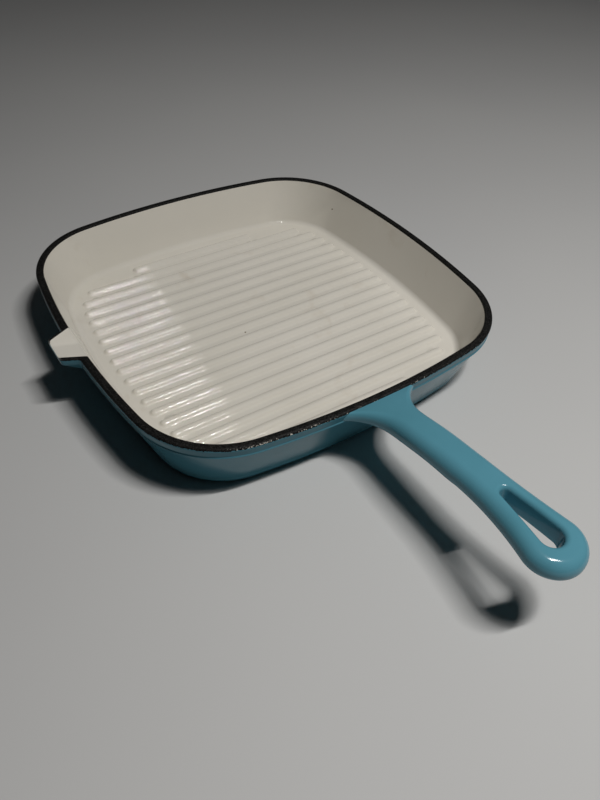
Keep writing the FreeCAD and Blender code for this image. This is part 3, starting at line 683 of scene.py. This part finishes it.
cream, black, iron = cream_material(), black_material(), iron_material()
teal = teal_material("teal_enamel_look", False)
# the wall's teal is a darker copy of the same enamel: painted shade
painted_shade_wall_teal = teal_material("teal_wall_painted_shade_look", True)
inside, rim, outside, underside = build_pan()
wear(inside, cream, "interior_enamel")
wear(rim, black, "rim_enamel")
wear(outside, painted_shade_wall_teal, "wall_enamel")
wear(underside, teal, "base_enamel")

for name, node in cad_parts.items():
    for slot in node.material_slots:
        slot.material = teal if name == "handle_enamel" else iron


# ------------------------------------------------------------------ stage, light, camera

reach = 2500
corners = [(-reach, -reach, 0), (reach, -reach, 0), (reach, reach, 0), (-reach, reach, 0)]
floor = new_mesh("studio_floor", corners, [(0, 1, 2, 3)])
floor.data.materials.append(floor_material())

LAMP_COLOUR = (1.0, 0.985, 0.96)
LAMP_HEIGHT = 0.975
LAMP_TURN = math.radians(-14.0)


def area_light(name, x, y, size, power):
    """A lamp under the ceiling that shines straight down."""
    data = bpy.data.lights.new(name, "AREA")
    data.shape = "RECTANGLE"
    data.size, data.size_y = size
    data.energy = power
    data.color = LAMP_COLOUR
    lamp = bpy.data.objects.new(name, data)
    bpy.context.collection.objects.link(lamp)
    lamp.location = (x, y, LAMP_HEIGHT)
    lamp.rotation_euler = (0, 0, LAMP_TURN)


area_light("ceiling_lamp", 0.05, -0.42, (0.12, 0.10), 2.0)
area_light("ceiling_strip", 0.18, -0.43, (0.26, 0.025), 5.9)


def studio_world():
    """Weak soft light that falls off towards the viewer's side, lower left."""
    world = bpy.data.worlds.new("studio")
    world.use_nodes = True
    tree = world.node_tree
    background = tree.nodes["Background"]
    coords = tree.nodes.new("ShaderNodeTexCoord")
    dot = tree.nodes.new("ShaderNodeVectorMath")
    dot.operation = "DOT_PRODUCT"
    dot.inputs[1].default_value = Vector((0.45, 0.40, 0.60)).normalized()
    strength = tree.nodes.new("ShaderNodeMapRange")
    for key, number in (("From Min", -0.2), ("From Max", 1.0), ("To Min", 0.0), ("To Max", 0.022)):
        strength.inputs[key].default_value = number
    tree.links.new(coords.outputs["Generated"], dot.inputs[0])
    tree.links.new(dot.outputs["Value"], strength.inputs["Value"])
    tree.links.new(strength.outputs["Result"], background.inputs["Strength"])
    background.inputs["Color"].default_value = (0.93, 0.97, 1.0, 1)
    bpy.context.scene.world = world


studio_world()
bpy.context.scene.view_settings.view_transform = "Standard"


def make_camera():
    """The photograph's view, fitted to the rim, the walls and the ribs."""
    focal, picture_height = 703.8833, 800.0  # in the photograph's pixels
    azimuth, elevation, roll = math.radians(-35.9596), math.radians(43.9869), math.radians(3.4162)
    target, distance = Vector((-39.899, -107.295, HEIGHT)), 385.950
    level = math.cos(elevation)
    back = Vector((math.sin(azimuth) * level, -math.cos(azimuth) * level, math.sin(elevation)))
    side = Vector((0, 0, 1)).cross(back).normalized()
    up = back.cross(side)
    right = side * math.cos(roll) + up * math.sin(roll)
    up = up * math.cos(roll) - side * math.sin(roll)
    data = bpy.data.cameras.new("camera")
    data.sensor_width = 36.0
    data.lens = focal * data.sensor_width / picture_height
    data.clip_start = 0.01
    camera = bpy.data.objects.new("camera", data)
    bpy.context.collection.objects.link(camera)
    axes = Matrix((right, up, back)).transposed().to_4x4()
    camera.matrix_world = Matrix.Translation((target + back * distance) * MM) @ axes
    bpy.context.scene.camera = camera


make_camera()
